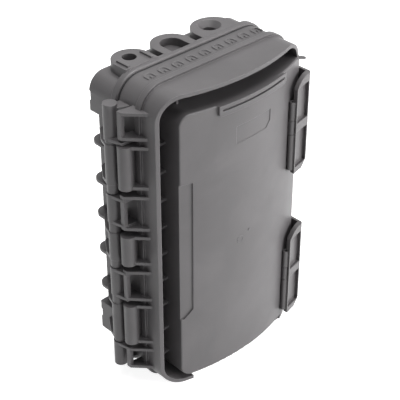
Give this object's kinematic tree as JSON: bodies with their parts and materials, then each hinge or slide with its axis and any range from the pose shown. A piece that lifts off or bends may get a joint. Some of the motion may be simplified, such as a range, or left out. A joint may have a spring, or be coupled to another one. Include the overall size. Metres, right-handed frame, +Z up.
{
  "type": "outdoor fibre distribution box",
  "caption": "Upright two-part moulded outdoor box with a bowed hinged cover, a knuckled side hinge and two side latches, for splicing and distributing optical fibres.",
  "frame": {"origin": "centre of the flat rear face that lies on the wall", "axes": "+Z up, +Y into the wall, +X towards the latch side"},
  "size_m": [0.1676, 0.0884, 0.2667],
  "materials": {
    "housing": "satin moulded plastic, dark grey",
    "rubber": "black elastomer",
    "steel": "plain stainless steel",
    "tray": "light grey moulded plastic",
    "holder": "soft grey elastomer",
    "clear": "clear polycarbonate",
    "bracket": "grey powder coat",
    "adapter": "green moulded plastic",
    "cap": "white moulded plastic",
    "gland": "black polyamide"
  },
  "bodies": {
    "base": {"base_housing": "housing", "sealing_gasket": "rubber", "hinge_pin": "steel", "splice_tray": "tray", "splice_holder": "holder", "tray_cover": "clear", "tray_screws": "steel", "adapter_panel": "bracket", "panel_screws": "steel", "clamp_screws": "steel", "adapter_1": "adapter", "adapter_2": "adapter", "adapter_3": "adapter", "adapter_4": "adapter", "adapter_5": "adapter", "adapter_6": "adapter", "adapter_7": "adapter", "adapter_8": "adapter", "dust_cap_1": "cap", "dust_cap_2": "cap", "dust_cap_3": "cap", "dust_cap_4": "cap", "dust_cap_5": "cap", "dust_cap_6": "cap", "dust_cap_7": "cap", "dust_cap_8": "cap", "drop_grommet_1": "rubber", "drop_grommet_2": "rubber", "drop_grommet_3": "rubber", "drop_grommet_4": "rubber", "drop_grommet_5": "rubber", "drop_grommet_6": "rubber", "gland_body_left": "gland", "gland_locknut_left": "gland", "gland_cap_left": "gland", "gland_seal_left": "rubber", "cable_clamp_left": "tray", "fibre_guide_left": "tray", "gland_body_right": "gland", "gland_locknut_right": "gland", "gland_cap_right": "gland", "gland_seal_right": "rubber", "cable_clamp_right": "tray", "fibre_guide_right": "tray"},
    "cover": {"cover": "housing", "latch_pin_upper": "steel", "latch_pin_lower": "steel"},
    "latch_upper": {"latch_upper": "housing"},
    "latch_lower": {"latch_lower": "housing"}
  },
  "joints": [
    {"name": "cover_hinge", "type": "hinge", "parent": "base", "child": "cover", "pos_m": [-0.0834, -0.034, 0], "axis": [0, 0, -1], "range_deg": [0, 120]},
    {"name": "latch_upper_pivot", "type": "hinge", "parent": "cover", "child": "latch_upper", "pos_m": [0.0585, -0.07873, 0.06098], "axis": [0, 0, -1], "range_deg": [0, 95]},
    {"name": "latch_lower_pivot", "type": "hinge", "parent": "cover", "child": "latch_lower", "pos_m": [0.0585, -0.07873, -0.07818], "axis": [0, 0, -1], "range_deg": [0, 95]}
  ]
}
